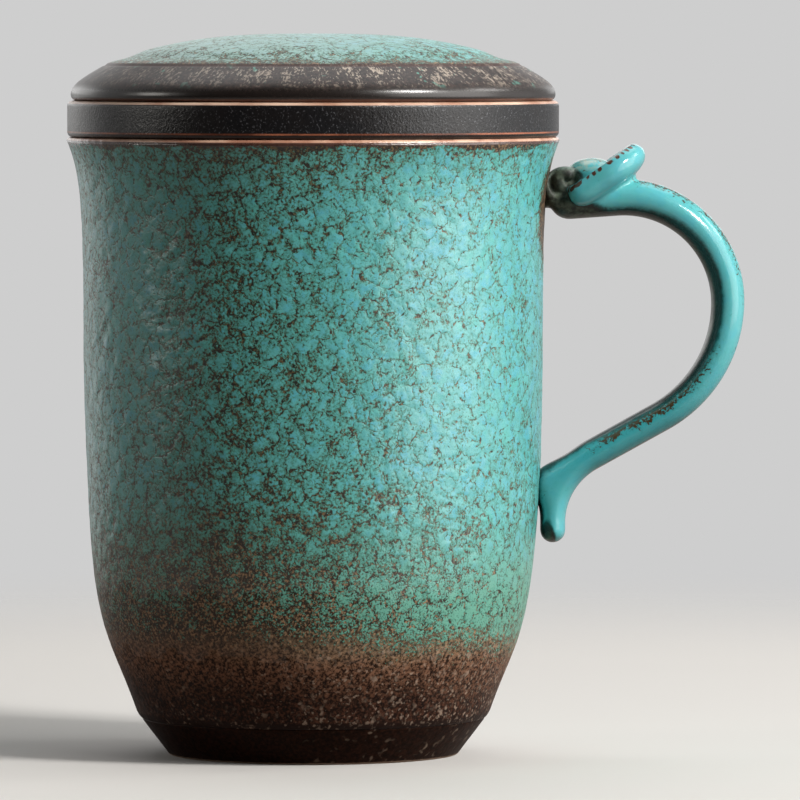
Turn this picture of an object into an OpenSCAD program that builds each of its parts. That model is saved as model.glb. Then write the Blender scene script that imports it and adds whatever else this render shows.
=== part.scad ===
// Lidded tea mug with a lift-out ceramic infuser and a ruyi-head ear handle.
// Millimetres, +Z up. The origin is the centre of the foot on the table, and the handle points along +X.

/* [Mug] */
// Height of the mug from the table to the top of the lip
mug_h = 105.3; // [98:0.1:116]
// Outer diameter of the lip at its widest
lip_d = 84; // [80:0.2:90]
// How far the lip stands out from the straight wall
lip_flare = 2.9; // [2:0.1:4]
// Height at which the bowl has grown into the straight wall
waist_z = 67; // [60:1:72]
// Thickness of the wall
wall = 3.4; // [2.8:0.1:4]
// Thickness of the lip at the mouth
lip_wall = 4; // [3.6:0.1:5]
// Rounding of the lip's two edges
lip_round = 1.1; // [0.5:0.1:1.6]
// Depth of the straight mouth that centres the infuser
mouth_h = 4.5; // [3.8:0.1:8]
// Thickness of the floor above the foot
floor_t = 3.2; // [2:0.1:6]
// Share of the way from the foot to the straight wall that the lower wall leans out at once
bowl_lean = 0.6; // [0.4:0.01:0.75]
// Height over which the lower wall leans out
bowl_rise = 16.5; // [12:0.1:20]
// Length over which the wall straightens below the waist
wall_ease = 49; // [40:1:52]
// Height over which the wall turns out into the lip
flare_h = 6; // [4:0.1:9]

/* [Foot] */
// Diameter of the foot at the table
foot_d = 50; // [44:0.2:54]
// Diameter of the foot where it meets the body
foot_top_d = 58.8; // [56:0.2:62]
// Height of the foot
foot_h = 6.3; // [4.5:0.1:9]
// Overhang of the body over the foot
foot_step = 0.4; // [0.1:0.1:1]
// Diameter of the recess under the foot
recess_d = 41; // [30:0.5:42]
// Depth of the recess under the foot
recess_h = 2.6; // [1:0.1:4]
// Rounding of the foot's outer edge
foot_round = 0.7; // [0.3:0.1:1]

/* [Handle] */
// Drop from the top of the lip to the upper joint
joint_drop = 11.2; // [9.4:0.1:15]
// Drop from the upper joint to where the tail turns straight down the wall
handle_h = 54.3; // [49:0.1:58]
// Distance from the wall at the upper joint to the middle of the bow
reach = 31.1; // [28:0.1:36]
// Slope of the upper arm in degrees
arm_rise = 4; // [0:0.5:6]
// Radius of the upper half of the bow
bow_r = 17.9; // [14:0.1:20]
// Angle that the bow turns back past straight down, in degrees
bow_turn = 61; // [52:1:68]
// Radius of the turn above the tail
tail_r = 12.9; // [9:0.1:15]
// Length of the straight tail
tail_l = 1.6; // [1:0.1:5]
// Thickness of the upper arm
arm_t = 6.3; // [5:0.1:7.5]
// Thickness of the bow
bow_t = 5.7; // [4.6:0.1:7.5]
// Thickness of the lower arm
low_t = 5.2; // [4.2:0.1:7]
// Thickness of the tail
tail_t = 4.3; // [3.6:0.1:6]
// Slit between the tail and the wall
tail_gap = 0.6; // [0.3:0.1:1.5]
// Width of the handle across its thickness
handle_w = 8; // [6:0.1:10]
// Length of the arm's rounded nose at the wall
nose_l = 4.6; // [3:0.1:6]
// Depth that each joint is fitted round the wall
joint_bite = 0.7; // [0.4:0.1:1.2]

/* [Thumb rest] */
// Diameter of the thumb rest's lobe
lobe_d = 15.2; // [12:0.1:18]
// Thickness of the lobe
lobe_t = 4.2; // [3.4:0.1:5.4]
// Depth of the dish in the top of the lobe
lobe_dish = 0.8; // [0.3:0.1:1.4]
// Tilt of the lobe in degrees, rising away from the mug
lobe_tilt = 35; // [24:1:40]
// Distance from the wall to the middle of the lobe
lobe_out = 10.5; // [9.5:0.1:12]
// Height of the lobe's middle above the top of the arm
lobe_up = 0.7; // [0:0.1:1.2]
// Diameter of the boss in the dish of the lobe
boss_d = 8.4; // [7:0.1:9]
// Height of the boss above its widest part
boss_h = 2.5; // [2:0.1:3]
// Distance from the lobe's middle to the boss, towards the mug
boss_in = 2.6; // [1.8:0.1:3.2]
// Height of the boss's widest part above the lobe's middle
boss_up = 0.5; // [0:0.1:1]
// Diameter of the scroll between the lobe and the wall
scroll_d = 7.4; // [6:0.1:8.4]
// Length of the scroll
scroll_l = 9.6; // [8:0.1:13]
// Depth that the scroll is pressed into the arm
scroll_press = 4.4; // [3.8:0.1:5]
// Width and depth of the groove in the ends of the scroll
scroll_groove = 0.8; // [0.4:0.1:1]

/* [Infuser] */
// Height of the collar between the lip and the lid
collar_h = 6.2; // [4.5:0.1:9]
// How far the collar's edge stands in from the lip's
collar_inset = 0.1; // [0:0.1:1]
// Rounding of the collar's edges
collar_round = 0.9; // [0.4:0.1:1.4]
// Depth of the step that centres the collar in the mouth
spigot_h = 3.4; // [2:0.1:3.6]
// Gap between the step and the mouth
mouth_gap = 0.4; // [0.3:0.05:0.8]
// Depth of the infuser below the lip
infuser_h = 70; // [50:1:80]
// Gap between the top of the basket and the straight wall
basket_gap = 1.5; // [1:0.1:3]
// Thickness of the basket's wall
basket_wall = 2.5; // [2:0.1:3]
// How much the basket's radius narrows towards its floor
basket_taper = 1.8; // [0.5:0.1:4]
// Thickness of the strainer floor
strainer_t = 3; // [2:0.1:4.5]
// Diameter of the strainer holes
hole_d = 2.4; // [1.6:0.1:3]
// Distance between the rings of strainer holes
hole_pitch = 5.8; // [4.6:0.1:6.4]
// Number of rings of strainer holes
hole_rings = 4; // [2:1:4]

/* [Lid] */
// How far the lid's edge stands in from the collar's
lid_inset = 0.6; // [0:0.1:2]
// Height of the lid's sloping shoulder
shoulder_h = 6.3; // [5:0.1:8]
// Width of the shoulder, from the lid's edge to the crease
shoulder_w = 6.1; // [4:0.1:8]
// Height at which the shoulder would meet the straight edge
shoulder_knee = 3.3; // [2.4:0.1:4]
// Height of the dome above the crease
dome_h = 5.1; // [3:0.1:9]
// Fullness of the dome: 2 is a plain bow, higher is flatter on top
dome_full = 2.8; // [2:0.1:4]
// Thickness of the lid
lid_t = 3.8; // [3:0.1:4.4]
// Rounding of the lid's lower edge
lid_round = 1; // [0.4:0.1:1.6]
// Depth of the skirt below the lid
skirt_h = 5.5; // [3:0.1:8]
// Thickness of the skirt
skirt_t = 2.6; // [2:0.1:3.4]
// Gap between the skirt and the basket
skirt_gap = 0.5; // [0.3:0.05:1]

/* [Hidden] */

$fn = 96;
curve_steps = 16;
arc_steps = 5;
glaze = [0.27, 0.66, 0.62];
dark_glaze = [0.17, 0.13, 0.11];
charcoal = [0.24, 0.22, 0.21];

// A smooth curve through the first and last of its control points, as a list of points
function bend(c, t) = len(c) == 1 ? c[0]
    : bend([for (i = [0 : len(c) - 2]) c[i] * (1 - t) + c[i + 1] * t], t);
function curve(c, steps = curve_steps) = [for (i = [0 : steps]) bend(c, i / steps)];
// An arc from one angle to another, as a list of points
function arc(centre, r, from, to, steps = arc_steps) =
    [for (i = [0 : steps]) let(a = from + (to - from) * i / steps) centre + r * [cos(a), sin(a)]];
function backward(list) = [for (i = [len(list) - 1 : -1 : 0]) list[i]];

// Mug: half outline of the outside, as [radius, height]
lip_r = lip_d / 2;
lip_z = mug_h - lip_round;
mouth_r = lip_r - lip_wall;
waist_r = lip_r - lip_flare;
bowl_r = foot_top_d / 2 + foot_step;
wall_lean = 0.8;
flare_wait = 22.8;
bowl = curve([[bowl_r, foot_h], [bowl_r + bowl_lean * (waist_r - bowl_r), foot_h + bowl_rise],
              [waist_r - wall_lean, waist_z - wall_ease], [waist_r, waist_z]]);
flare = curve([[waist_r, waist_z], [waist_r, waist_z + flare_wait],
               [waist_r, lip_z - flare_h], [lip_r, lip_z]]);
outline = concat(bowl, [for (i = [1 : len(flare) - 1]) flare[i]]);
lip_edge = arc([lip_r - lip_round, lip_z], lip_round, 0, 90);
// Outer radius of the wall at a height
function wall_at(z) = lookup(z, [for (p = outline) [p[1], p[0]]]);

// Mug: half outline of the inside
floor_z = foot_h + floor_t;
floor_round = 6;
floor_r = wall_at(floor_z + floor_round) - wall;
mouth_z = mug_h - mouth_h;
mouth_lead = 4;
inside = [for (p = outline) if (p[1] > floor_z + floor_round && p[1] < mouth_z - mouth_lead)
    [p[0] - wall, p[1]]];
floor_edge = curve([[floor_r - floor_round, floor_z], [floor_r - floor_round / 4, floor_z],
                    [floor_r, floor_z + floor_round]], arc_steps);
mouth_edge = arc([mouth_r + lip_round, lip_z], lip_round, 180, 90);

// Infuser
seat_z = mug_h;
lid_z = seat_z + collar_h;
collar_r = lip_r - collar_inset;
spigot_r = mouth_r - mouth_gap;
spigot_z = seat_z - spigot_h;
basket_r = waist_r - wall - basket_gap;
basket_in_r = basket_r - basket_wall;
basket_low_r = basket_r - basket_taper;
infuser_z = seat_z - infuser_h;
strainer_z = infuser_z + strainer_t;
holes_a_ring = 6;

// Lid
lid_r = collar_r - lid_inset;
crease_r = lid_r - shoulder_w;
crease_z = lid_z + shoulder_h;
skirt_r = basket_in_r - skirt_gap;
skirt_in_r = skirt_r - skirt_t;
skirt_round = 0.8;
dome_steps = 14;
function dome(r) = crease_z + dome_h * (1 - pow(r / crease_r, dome_full));

// Handle: the middle of its bow and its tail are set out from the wall, and the lower arm joins them
joint_z = mug_h - joint_drop;
tail_z = joint_z - handle_h;
joint_r = wall_at(joint_z);
bow_x = joint_r + reach;
nose_x = joint_r - joint_bite;
tail_x = wall_at(tail_z) + tail_gap + tail_t / 2;
arm_l = (bow_x - bow_r - bow_r * sin(arm_rise) - nose_x) / cos(arm_rise);
bow_z = joint_z + arm_l * sin(arm_rise) - bow_r * cos(arm_rise);
span_x = bow_x - tail_x - tail_r * (1 - cos(bow_turn));
span_z = bow_z - tail_z - tail_r * sin(bow_turn);
low_r = (span_z * sin(bow_turn) - span_x * cos(bow_turn)) / (1 - cos(bow_turn));
low_l = (span_x * sin(bow_turn) - span_z * (1 - cos(bow_turn))) / (1 - cos(bow_turn));
// Each stretch of the route: its length, its turn in degrees, its steps and its thickness at both ends
function turn_l(r, a) = r * a * PI / 180;
right_angle = 90;
top_turn = right_angle + arm_rise;
stretches = [
    [arm_l, 0, 12, arm_t, arm_t],
    [turn_l(bow_r, top_turn), -top_turn, 16, arm_t, bow_t],
    [turn_l(low_r, bow_turn), -bow_turn, 12, bow_t, low_t],
    [low_l, 0, 4, low_t, low_t],
    [turn_l(tail_r, bow_turn), bow_turn, 10, low_t, tail_t],
    [tail_l, 0, 2, tail_t, tail_t]];
handle_sides = 24;
cap_steps = 6;
tip = 0.15;
// Place and heading part of the way along a stretch that starts at [place, heading]
function along(start, s, t) = let(h = start[1], a = s[1] * t)
    [start[0] + (a == 0 ? s[0] * t * [cos(h), sin(h)]
        : s[0] * 180 / (PI * s[1]) * [sin(h + a) - sin(h), cos(h) - cos(h + a)]), h + a];
function start_of(i) = i == 0 ? [[nose_x, joint_z], arm_rise] : along(start_of(i - 1), stretches[i - 1], 1);
// The nose swells from the wall like half an ellipse, and less so across the handle
function nose(d) = d >= nose_l ? 1 : sqrt(1 - pow(1 - max(d / nose_l, pow(tip, 2)), 2));
nose_spread = 0.4;
// The turn above the tail swells inwards, part of the way along, until it meets the wall
web_turn = 4;
web_at = 0.58;
web_sharp = 3;
web_mid = along(start_of(web_turn), stretches[web_turn], web_at);
web_reach = (web_mid[0][0] - wall_at(web_mid[0][1])) / -sin(web_mid[1]) + joint_bite;
web_fill = web_reach - (low_t + (tail_t - low_t) * web_at) / 2;
function web(t) = web_fill * pow(sin(180 * pow(t, ln(0.5) / ln(web_at))), web_sharp);
// Stations of the sweep: place, heading, half thickness outwards, half width and half thickness inwards
route = [for (i = [0 : len(stretches) - 1]) let(s = stretches[i], b = start_of(i))
    for (k = [0 : s[2] - 1]) let(t = k / s[2], p = along(b, s, t), f = i == 0 ? nose(s[0] * t) : 1,
        half = f * (s[3] + (s[4] - s[3]) * t) / 2)
        [p[0], p[1], half, pow(f, nose_spread) * handle_w / 2, half + (i == web_turn ? web(t) : 0)]];
tail_end = start_of(len(stretches));
tail_cap = [for (k = [0 : cap_steps])
    let(a = k * (right_angle - asin(tip)) / cap_steps, h = tail_end[1], half = cos(a) * tail_t / 2)
    [tail_end[0] + sin(a) * tail_t / 2 * [cos(h), sin(h)], h, half, cos(a) * handle_w / 2, half]];
stations = concat(route, tail_cap);

// Thumb rest
arm_top = joint_z + arm_t / 2;
lobe_x = joint_r + lobe_out;
lobe_z = arm_top + (lobe_x - nose_x) * sin(arm_rise) + lobe_up;
boss_x = lobe_x - boss_in;
boss_z = lobe_z + boss_up;
scroll_r = scroll_d / 2;
scroll_z = arm_top + scroll_r - scroll_press;
scroll_x = wall_at(scroll_z) + scroll_r - joint_bite;
scroll_round = 1.4;

// A solid tube swept along stations, oval across its route
module sweep(stations, sides) {
    points = [for (s = stations, k = [0 : sides - 1])
        let(a = 360 * k / sides, u = (cos(a) < 0 ? s[4] : s[2]) * cos(a))
            [s[0][0] - u * sin(s[1]), s[3] * sin(a), s[0][1] + u * cos(s[1])]];
    last = (len(stations) - 1) * sides;
    walls = [for (i = [0 : len(stations) - 2], k = [0 : sides - 1])
        let(a = i * sides + k, b = i * sides + (k + 1) % sides)
            each [[a, b, b + sides], [a, b + sides, a + sides]]];
    ends = [for (k = [1 : sides - 2]) each [[0, k + 1, k], [last, last + k, last + k + 1]]];
    polyhedron(points, concat(walls, ends));
}

// The mug without its hollow, which the handle's joints are fitted round
module mug_outside() {
    rotate_extrude() polygon(concat([[0, foot_h]], outline, lip_edge, [[0, mug_h]]));
}

module mug_body() {
    color(glaze) rotate_extrude() polygon(concat([[0, foot_h]], outline, lip_edge, backward(mouth_edge),
        [[mouth_r, mouth_z]], backward(inside), backward(floor_edge), [[0, floor_z]]));
}

module foot_ring() {
    foot_r = foot_d / 2;
    lean = atan((foot_top_d - foot_d) / 2 / foot_h);
    color(dark_glaze) rotate_extrude() polygon(concat(
        [[0, recess_h], [recess_d / 2, recess_h], [recess_d / 2, 0]],
        arc([foot_r - foot_round, foot_round], foot_round, -90, -lean),
        [[foot_top_d / 2, foot_h], [0, foot_h]]));
}

module handle_bow() {
    color(glaze) difference() {
        sweep(stations, handle_sides);
        mug_outside();
    }
}

module thumb_rest() {
    half = lobe_t / 2;
    rim = lobe_d / 2 - half;
    color(glaze) union() {
        translate([lobe_x, 0, lobe_z]) rotate([0, -lobe_tilt, 0]) rotate_extrude() polygon(concat(
            [[0, -half]], arc([rim, 0], half, -90, 90, 2 * arc_steps),
            curve([[rim, half], [rim / 2, half - lobe_dish], [0, half - lobe_dish]], arc_steps)));
        translate([boss_x, 0, boss_z]) rotate_extrude() polygon(
            [for (p = arc([0, 0], 1, -90, 90, 2 * arc_steps)) [p[0] * boss_d / 2, p[1] * boss_h]]);
    }
}

module thumb_scroll() {
    half = scroll_l / 2;
    eye = scroll_r / 2;
    end_half = [[scroll_r, half - scroll_round], [eye, half], [eye, half - scroll_groove],
                [eye - scroll_groove, half - scroll_groove], [eye - scroll_groove, half]];
    color(glaze) difference() {
        translate([scroll_x, 0, scroll_z]) rotate([90, 0, 0]) rotate_extrude() polygon(concat(
            [[0, -half]], [for (p = backward(end_half)) [p[0], -p[1]]],
            end_half, [[0, half]]));
        mug_outside();
    }
}

module infuser_collar() {
    color(charcoal) rotate_extrude() polygon(concat(
        [[basket_in_r, spigot_z], [spigot_r, spigot_z], [spigot_r, seat_z]],
        arc([collar_r - collar_round, seat_z + collar_round], collar_round, -90, 0),
        arc([collar_r - collar_round, lid_z - collar_round], collar_round, 0, 90),
        [[basket_in_r, lid_z]]));
}

module infuser_basket() {
    color(charcoal) rotate_extrude() polygon([
        [basket_in_r, spigot_z], [basket_r, spigot_z],
        [basket_low_r, strainer_z], [basket_low_r - basket_wall, strainer_z]]);
}

module strainer_floor() {
    color(charcoal) translate([0, 0, infuser_z]) linear_extrude(strainer_t) difference() {
        circle(basket_low_r);
        circle(d = hole_d);
        for (ring = [1 : hole_rings], k = [1 : holes_a_ring * ring])
            rotate(360 * k / (holes_a_ring * ring)) translate([ring * hole_pitch, 0]) circle(d = hole_d);
    }
}

module lid_cap() {
    outside = [for (i = [0 : dome_steps]) let(r = crease_r * (1 - i / dome_steps)) [r, dome(r)]];
    hollow = [for (i = [0 : dome_steps]) let(r = skirt_in_r * i / dome_steps) [r, dome(r) - lid_t]];
    color(glaze) rotate_extrude() polygon(concat(
        [[skirt_in_r, lid_z]], arc([lid_r - lid_round, lid_z + lid_round], lid_round, -90, 0),
        curve([[lid_r, lid_z + lid_round], [lid_r, lid_z + shoulder_knee], [crease_r, crease_z]],
              2 * arc_steps),
        [for (i = [1 : dome_steps]) outside[i]], hollow));
}

module lid_skirt() {
    low = lid_z - skirt_h;
    color(charcoal) rotate_extrude() polygon(concat(
        arc([skirt_in_r + skirt_round, low + skirt_round], skirt_round, 180, 270),
        arc([skirt_r - skirt_round, low + skirt_round], skirt_round, -90, 0),
        [[skirt_r, lid_z], [skirt_in_r, lid_z]]));
}

mug_body();
foot_ring();
handle_bow();
thumb_rest();
thumb_scroll();
infuser_collar();
infuser_basket();
strainer_floor();
lid_cap();
lid_skirt();
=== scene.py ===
"""Lidded tea mug with a lift-out infuser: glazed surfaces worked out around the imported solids."""
import math

import bpy
import numpy as np
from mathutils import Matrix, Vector


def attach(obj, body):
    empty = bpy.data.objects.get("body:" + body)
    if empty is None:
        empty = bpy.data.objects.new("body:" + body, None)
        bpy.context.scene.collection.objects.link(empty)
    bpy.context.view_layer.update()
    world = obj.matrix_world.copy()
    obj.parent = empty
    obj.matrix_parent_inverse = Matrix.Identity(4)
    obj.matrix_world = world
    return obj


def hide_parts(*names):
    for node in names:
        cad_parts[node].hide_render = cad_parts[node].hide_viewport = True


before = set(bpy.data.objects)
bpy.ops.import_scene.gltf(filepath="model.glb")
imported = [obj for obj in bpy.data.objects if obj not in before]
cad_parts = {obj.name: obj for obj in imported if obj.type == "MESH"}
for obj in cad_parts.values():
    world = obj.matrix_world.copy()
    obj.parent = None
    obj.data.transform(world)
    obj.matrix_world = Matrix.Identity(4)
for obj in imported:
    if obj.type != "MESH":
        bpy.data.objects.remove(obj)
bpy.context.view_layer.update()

MM = 0.001

# Sizes in millimetres, as in the solids but for a smaller rounding of the lip
mug_h = 105.3
lip_r, lip_round = 42.0, 0.6
lip_z = mug_h - lip_round
mouth_r, mouth_z, mouth_lead = 38.0, 100.8, 4.0
waist_r, waist_z, wall = 39.1, 67.0, 3.4
foot_h, foot_r, foot_top_r, foot_round = 6.3, 25.0, 29.4, 0.7
recess_r, recess_h, recess_round, recess_edge = 20.5, 2.6, 0.8, 0.4
bowl_r, floor_z, floor_round = 29.8, 9.5, 6.0
collar_r, collar_round, lid_z = 41.9, 0.9, 111.5
spigot_r, spigot_z, spigot_round = 37.6, 101.9, 0.5
basket_r, basket_in_r, basket_low_r, basket_wall, strainer_z = 34.2, 31.7, 32.4, 2.5, 38.3
lid_r, lid_round, lid_t = 41.3, 1.0, 3.8
crease_r, crease_z, dome_h, dome_full = 35.2, 117.8, 5.1, 2.8
dip_r, dip_width, dip_h = 31.6, 2.0, 0.33
skirt_r, skirt_in_r, skirt_h, skirt_round = 31.2, 28.6, 5.5, 0.8


# Curves and outlines

def bend(controls, steps):
    """Points on the smooth curve of these controls: each point is their binomial blend at one share of the way."""
    c = np.asarray(controls, float)
    t = np.linspace(0, 1, steps + 1)[:, None]
    n = len(c) - 1
    return sum(math.comb(n, k) * (1 - t) ** (n - k) * t ** k * c[k] for k in range(n + 1))


def arc(centre, r, start, end, steps=8):
    """Points on a circle about the centre, evenly spaced from one angle to another in degrees."""
    a = np.radians(np.linspace(start, end, steps + 1))
    return np.column_stack([centre[0] + r * np.cos(a), centre[1] + r * np.sin(a)])


def softened(corners, r, steps):
    """A closed outline whose corners each become a quadratic curve that starts and ends r from the corner."""
    c = np.asarray(corners, float)
    before, after = np.roll(c, 1, 0) - c, np.roll(c, -1, 0) - c
    a = c + before / np.linalg.norm(before, axis=1)[:, None] * r
    b = c + after / np.linalg.norm(after, axis=1)[:, None] * r
    return np.concatenate([bend([a[i], c[i], b[i]], steps) for i in range(len(c))])


def evenly(outline, step, closed=False):
    """The outline with extra points added along its straight lengths, so that none is longer than the step."""
    p = np.asarray(outline, float)
    q = np.vstack([p, p[:1]]) if closed else p
    length = np.linalg.norm(np.diff(q, axis=0), axis=1)
    count = np.maximum(1, np.ceil(length / step).astype(int))
    pieces = [q[i] + (q[i + 1] - q[i]) * (np.arange(k) / k)[:, None] for i, k in enumerate(count)]
    return np.concatenate(pieces if closed else pieces + [q[-1:]])


# Meshes

def surface(name, points, faces, body, material, stands_for):
    """A mesh object from points in millimetres and faces, which are turned round if the volume that they enclose
    is negative. It rides on a body and stands for CAD nodes."""
    tri = np.array([(f[0], f[i], f[i + 1]) for f in faces for i in range(1, len(f) - 1)])
    p = points[tri]
    volume = np.einsum("ij,ij->i", p[:, 0], np.cross(p[:, 1], p[:, 2])).sum()
    if volume < 0:
        faces = [f[::-1] for f in faces]
    mesh = bpy.data.meshes.new(name)
    mesh.from_pydata((points * MM).tolist(), [], faces)
    mesh.polygons.foreach_set("use_smooth", np.ones(len(mesh.polygons), bool))
    mesh.update()
    piece = bpy.data.objects.new(name, mesh)
    bpy.context.scene.collection.objects.link(piece)
    for m in material if isinstance(material, list) else [material]:
        mesh.materials.append(m)
    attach(piece, body)
    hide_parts(*stands_for)
    return piece


def quads(rows, columns, wrap_rows=False):
    """Faces between neighbouring points of a grid whose columns close on themselves, and its rows too if asked."""
    i, k = np.meshgrid(np.arange(rows if wrap_rows else rows - 1), np.arange(columns), indexing="ij")
    j, n = (i + 1) % rows, (k + 1) % columns
    return np.stack([i * columns + k, i * columns + n, j * columns + n, j * columns + k], -1).reshape(-1, 4).tolist()


def fans(rows, columns):
    """Triangles that close the first and the last row of a grid, each on one of the two points after the grid."""
    first, last, low = rows * columns, rows * columns + 1, (rows - 1) * columns
    k = np.arange(columns)
    n = (k + 1) % columns
    return [*np.column_stack([np.full(columns, first), n, k]).tolist(),
            *np.column_stack([np.full(columns, last), low + k, low + n]).tolist()]


def turned(outline, around, closed=False, wobble=None):
    """Points and faces of an outline of [radius, height] carried round the axis: x = r cos a, y = r sin a.
    An open outline starts and ends on the axis, where its rings shrink to a point."""
    o = np.asarray(outline, float)
    a = np.linspace(0, 2 * math.pi, around, endpoint=False)
    inner = o if closed else o[1:-1]
    r = np.repeat(inner[:, :1], around, 1)
    z = np.repeat(inner[:, 1:], around, 1)
    if wobble is not None:
        r = r + wobble(np.repeat(a[None], len(inner), 0), z)
    points = np.stack([r * np.cos(a), r * np.sin(a), z], -1).reshape(-1, 3)
    faces = quads(len(inner), around, closed)
    if not closed:
        points = np.vstack([points, [0, 0, o[0, 1]], [0, 0, o[-1, 1]]])
        faces += fans(len(inner), around)
    return points, faces


def swept(rings):
    """Points and faces of a tube through rings of points, with each end closed on the middle of its ring."""
    rows, columns = rings.shape[:2]
    points = np.vstack([rings.reshape(-1, 3), rings[0].mean(0), rings[-1].mean(0)])
    return points, quads(rows, columns) + fans(rows, columns)


def mark(piece, name, values):
    """Keeps one number for each point of the piece, for its material to read."""
    piece.data.attributes.new(name, "FLOAT", "POINT").data.foreach_set("value", np.asarray(values, np.float32))


# Materials

def colour(r, g, b):
    """A colour written as 0 to 255 on screen, as the linear value that the shader takes."""
    s = np.array([r, g, b]) / 255
    return (*np.where(s <= 0.04045, s / 12.92, ((s + 0.055) / 1.055) ** 2.4), 1)


class Finish:
    """A material and short names for the nodes that make it."""

    def __init__(self, name):
        self.material = bpy.data.materials.new(name)
        self.material.use_nodes = True
        self.tree = self.material.node_tree
        self.shader = self.tree.nodes["Principled BSDF"]
        place = self.add("ShaderNodeTexCoord").outputs["Object"]
        level = self.add("ShaderNodeMapping", Vector=place, Scale=(1 / MM,) * 3).outputs[0]
        self.at = self.add("ShaderNodeMapping", Vector=level, Rotation=(0.6, 0.4, 0.9)).outputs[0]
        self.level = level
        self.x, self.y, self.z = self.add("ShaderNodeSeparateXYZ", Vector=level).outputs
        self.radius = self.calc("SQRT", self.calc("ADD", self.times(self.x, self.x), self.times(self.y, self.y)))

    def put(self, socket, value):
        """Links another node's result to the socket, or sets it to a constant."""
        if isinstance(value, bpy.types.NodeSocket):
            self.tree.links.new(value, socket)
        else:
            socket.default_value = value

    def add(self, kind, settings=None, **inputs):
        node = self.tree.nodes.new(kind)
        for key, value in (settings or {}).items():
            setattr(node, key, value)
        for key, value in inputs.items():
            self.put(node.inputs[key], value)
        return node

    def calc(self, operation, *values, kind="ShaderNodeMath"):
        """The result of one sum on numbers, or on vectors if that kind is given."""
        node = self.add(kind, {"operation": operation})
        for socket, value in zip(node.inputs, values):
            self.put(socket, value)
        return node.outputs["Value" if operation == "DISTANCE" else 0]

    def times(self, a, b):
        """The product of two numbers."""
        return self.calc("MULTIPLY", a, b)

    def line(self, value, slope, start):
        """The value times the slope, plus the start."""
        return self.calc("MULTIPLY_ADD", value, slope, start)

    def vector(self, operation, *values):
        return self.calc(operation, *values, kind="ShaderNodeVectorMath")

    def moved(self, by):
        """The pattern's coordinates shifted, so that two noises of one scale don't match."""
        return self.vector("ADD", self.at, (by, 0.7 * by, -by))

    def cloud(self, at, scale, detail, rough):
        """Cloudy noise at any coordinates, as a number and as a colour."""
        return self.add("ShaderNodeTexNoise", Vector=at, Scale=scale, Detail=detail, Roughness=rough).outputs

    def noise(self, scale, detail=3.0, rough=0.55, by=0.0):
        """Cloudy noise from 0 to 1 with about scale features in a millimetre."""
        return self.cloud(self.moved(by) if by else self.at, scale, detail, rough)["Fac"]

    def step(self, value, low, high):
        """0 below low and 1 above high, with a smooth rise between."""
        node = self.add("ShaderNodeMapRange", {"interpolation_type": "SMOOTHSTEP"}, Value=value)
        node.inputs["From Min"].default_value = low
        node.inputs["From Max"].default_value = high
        return node.outputs[0]

    def graph(self, value, stops, low=0.0, high=1.0):
        """A number read off a line through stops of (value, result), for values from low to high."""
        share = self.add("ShaderNodeMapRange", Value=value)
        share.inputs["From Min"].default_value = low
        share.inputs["From Max"].default_value = high
        return self.ramp(share.outputs[0], [((v - low) / (high - low), (n, n, n, 1)) for v, n in stops])

    def ramp(self, value, stops):
        """A colour read off a row of (place, colour) stops."""
        node = self.add("ShaderNodeValToRGB", Fac=value)
        marks = node.color_ramp.elements
        while len(marks) < len(stops):
            marks.new(1.0)
        for m, (place, c) in zip(marks, stops):
            m.position = place
            m.color = c
        return node.outputs["Color"]

    def mix(self, share, a, b):
        """Colour a, turning to colour b as the share goes from 0 to 1."""
        node = self.add("ShaderNodeMix", {"data_type": "RGBA"})
        for name, value in (("Factor_Float", share), ("A_Color", a), ("B_Color", b)):
            self.put(next(s for s in node.inputs if s.identifier == name), value)
        return next(s for s in node.outputs if s.identifier == "Result_Color")

    def relief(self, height, strength, distance):
        """Small bumps that follow the height."""
        node = self.add("ShaderNodeBump", Height=height, Strength=strength, Distance=distance)
        self.put(self.shader.inputs["Normal"], node.outputs[0])

    def done(self, base, rough, **constants):
        """The material with its colour, its roughness and any constants set on the shader."""
        self.put(self.shader.inputs["Base Color"], base)
        self.put(self.shader.inputs["Roughness"], rough)
        for key, value in constants.items():
            self.put(self.shader.inputs[key.replace("_", " ")], value)
        return self.material


def cracks(f, scale, bends, by):
    """Distance in millimetres from the borders of cells, which are pushed about by cloudy noise at several scales."""
    at = f.moved(by)
    for size, push in bends:
        at = f.vector("MULTIPLY_ADD", f.cloud(f.moved(by), size, 2.0, 0.5)["Color"], (push,) * 3, at)
    cells = f.add("ShaderNodeTexVoronoi", {"feature": "DISTANCE_TO_EDGE"}, Vector=at, Scale=scale)
    return f.calc("DIVIDE", cells.outputs["Distance"], scale)


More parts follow.
